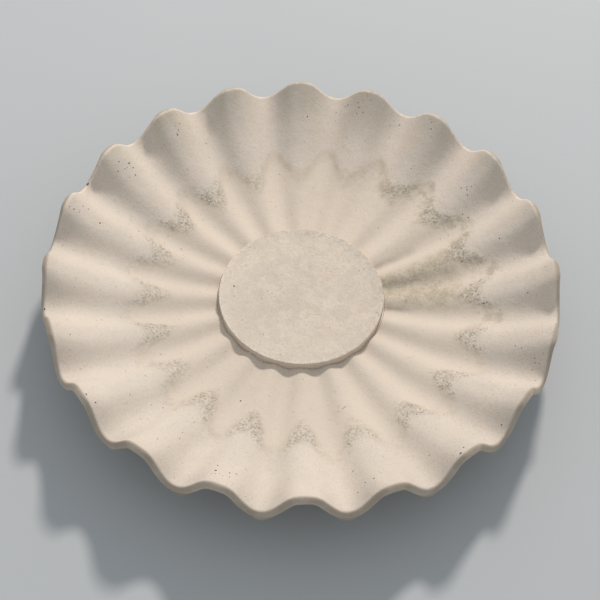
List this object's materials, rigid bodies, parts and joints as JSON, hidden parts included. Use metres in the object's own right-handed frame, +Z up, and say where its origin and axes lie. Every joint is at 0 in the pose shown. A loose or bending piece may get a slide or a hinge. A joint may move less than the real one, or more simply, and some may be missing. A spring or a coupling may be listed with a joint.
{
  "type": "bird bath bowl",
  "caption": "Shallow round cast-stone bird bath bowl with rounded radial flutes, a wavy rim, a raised disc in the middle of its floor and a flat foot.",
  "frame": {"origin": "centre of the flat foot that the bowl stands on", "axes": "+Z up along the bowl's axis; +X along a flute's ridge"},
  "size_m": [0.605, 0.605, 0.1049],
  "materials": {
    "bowl_cast_stone": "matte, fine-grained, weathered",
    "disc_cast_stone": "matte, sandy",
    "bedding_mortar": "rough mortar"
  },
  "bodies": {
    "root": {"fluted_bowl": "bowl_cast_stone", "centre_disc": "disc_cast_stone", "mortar_bed": "bedding_mortar"}
  },
  "joints": []
}
